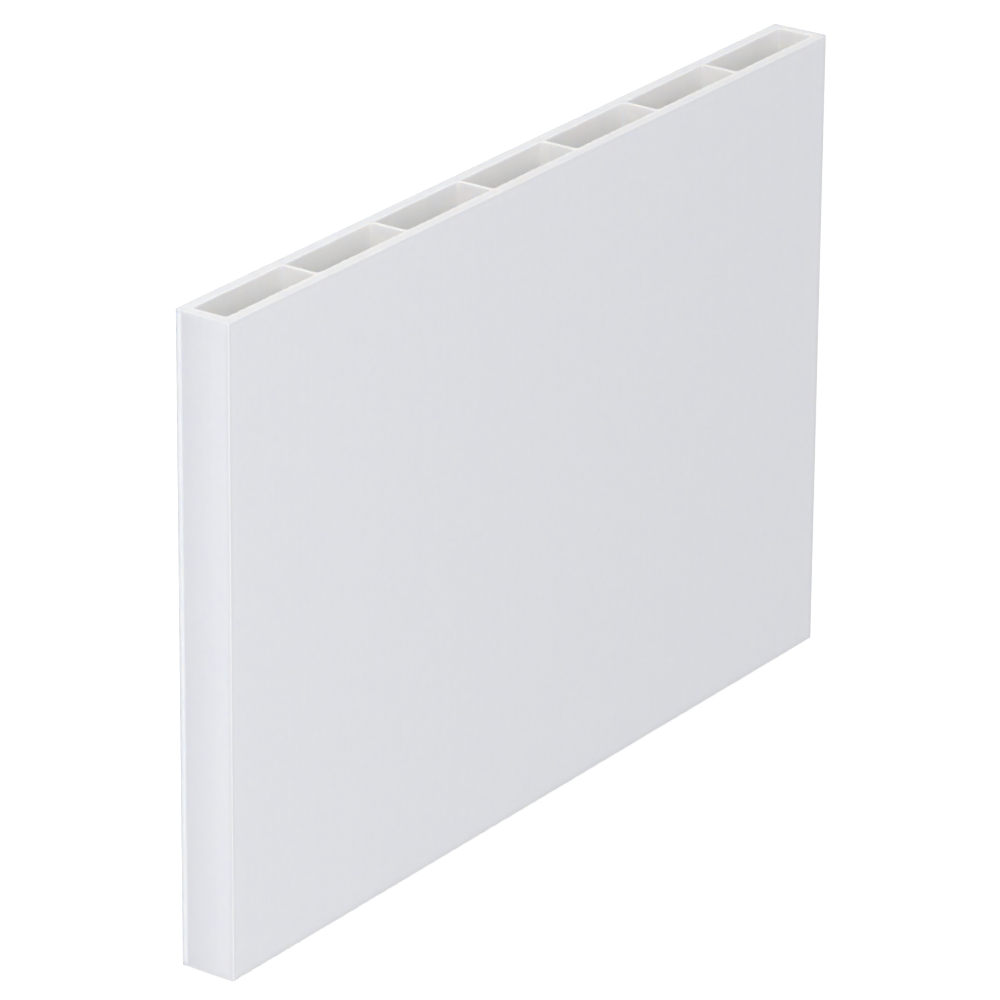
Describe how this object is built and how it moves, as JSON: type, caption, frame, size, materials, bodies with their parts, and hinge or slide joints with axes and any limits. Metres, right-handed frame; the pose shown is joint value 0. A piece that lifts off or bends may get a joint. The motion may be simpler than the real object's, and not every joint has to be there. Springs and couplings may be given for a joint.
{
  "type": "flat trim profile",
  "caption": "Flat hollow trim profile in rigid white plastic, extruded with a row of open chambers between thin webs and cut square at both ends.",
  "frame": {"origin": "centre of the back face, the broad face that lies down", "axes": "+X across the width, +Y along the extrusion, +Z through the thickness, out of the front face"},
  "size_m": [0.15, 0.1, 0.0092],
  "materials": {
    "white_plastic": "smooth extruded rigid plastic with a satin gloss, matt on the sawn ends"
  },
  "bodies": {
    "root": {"trim_profile": "white_plastic"}
  },
  "joints": []
}
